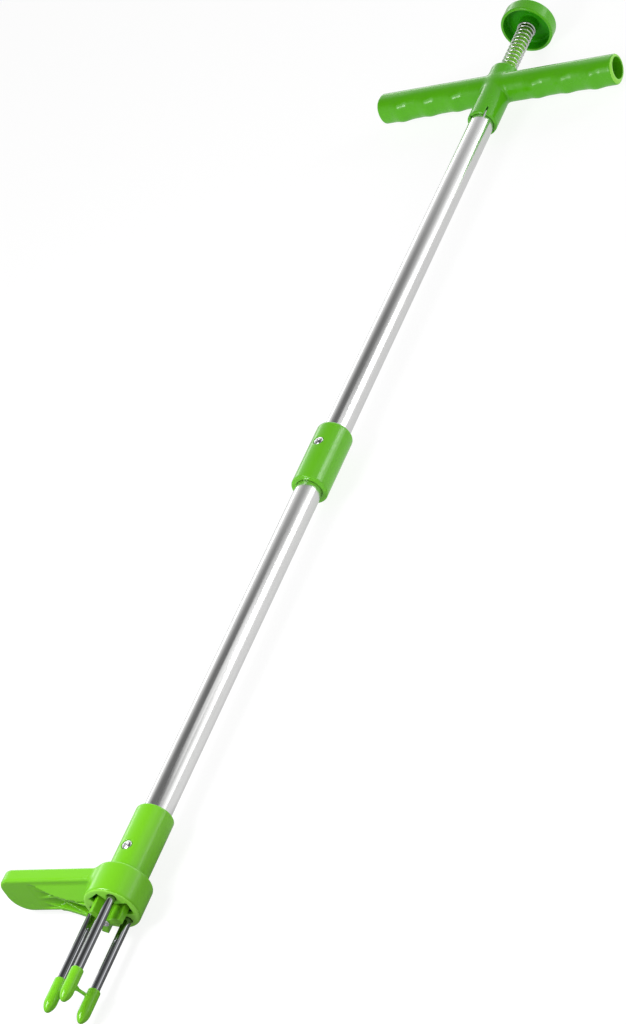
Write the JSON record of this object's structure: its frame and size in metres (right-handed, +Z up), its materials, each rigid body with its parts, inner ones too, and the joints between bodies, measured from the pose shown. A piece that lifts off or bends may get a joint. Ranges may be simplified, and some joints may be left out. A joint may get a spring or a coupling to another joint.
{
  "type": "stand-up weed puller",
  "caption": "Stand-up weed puller: T handle with a sprung push knob, two-part tube, foot pedal, steel claws and a star ejector between them.",
  "frame": {"origin": "on the ground plane that the tool lies on, under the middle of its bounding box", "axes": "+X along the shaft from the claw tips to the push knob, +Y across the shaft on the side of the foot pedal and parallel to the grip bar, +Z up, on the side that the screws face"},
  "size_m": [1.0246, 0.2184, 0.0448],
  "materials": {
    "handle_green": "glossy injection-moulded plastic, mid green",
    "plastic_green": "glossy injection-moulded plastic, lime green",
    "shaft_alloy": "satin drawn aluminium tube",
    "claw_chrome": "chrome-plated steel rod",
    "bright_fasteners": "bright zinc-plated screws and rivet",
    "spring_steel": "bright plated spring wire and washers",
    "rod_steel": "drawn steel rod",
    "bush_grey": "dark grey acetal"
  },
  "bodies": {
    "frame": {"tee_handle": "handle_green", "handle_rivet": "bright_fasteners", "stem_guide_bush": "bush_grey", "lower_spring_washer": "spring_steel", "upper_tube": "shaft_alloy", "joint_sleeve": "plastic_green", "joint_screw": "bright_fasteners", "lower_tube": "shaft_alloy", "claw_head": "plastic_green", "foot_pedal": "plastic_green", "head_screw": "bright_fasteners", "rod_guide_bush": "bush_grey", "claw_pedal_side": "claw_chrome", "claw_front": "claw_chrome", "claw_rear": "claw_chrome", "return_spring": "spring_steel"},
    "plunger": {"push_knob": "handle_green", "upper_spring_washer": "spring_steel", "plunger_stem": "plastic_green", "upper_push_rod": "rod_steel", "rod_coupler": "bush_grey", "lower_push_rod": "rod_steel", "ejector": "plastic_green", "ejector_screw": "bright_fasteners"},
    "guard": {"claw_tip_guard": "plastic_green"}
  },
  "joints": [
    {"name": "plunger_slide", "type": "slide", "parent": "frame", "child": "plunger", "axis": [-1, 0, 0], "range_m": [0, 0.038], "stiffness_N_per_m": 400, "springref_m": -0.015, "deforming": ["return_spring"]},
    {"name": "guard_slide", "type": "slide", "parent": "frame", "child": "guard", "axis": [-1, 0, 0], "range_m": [0, 0.045]}
  ]
}
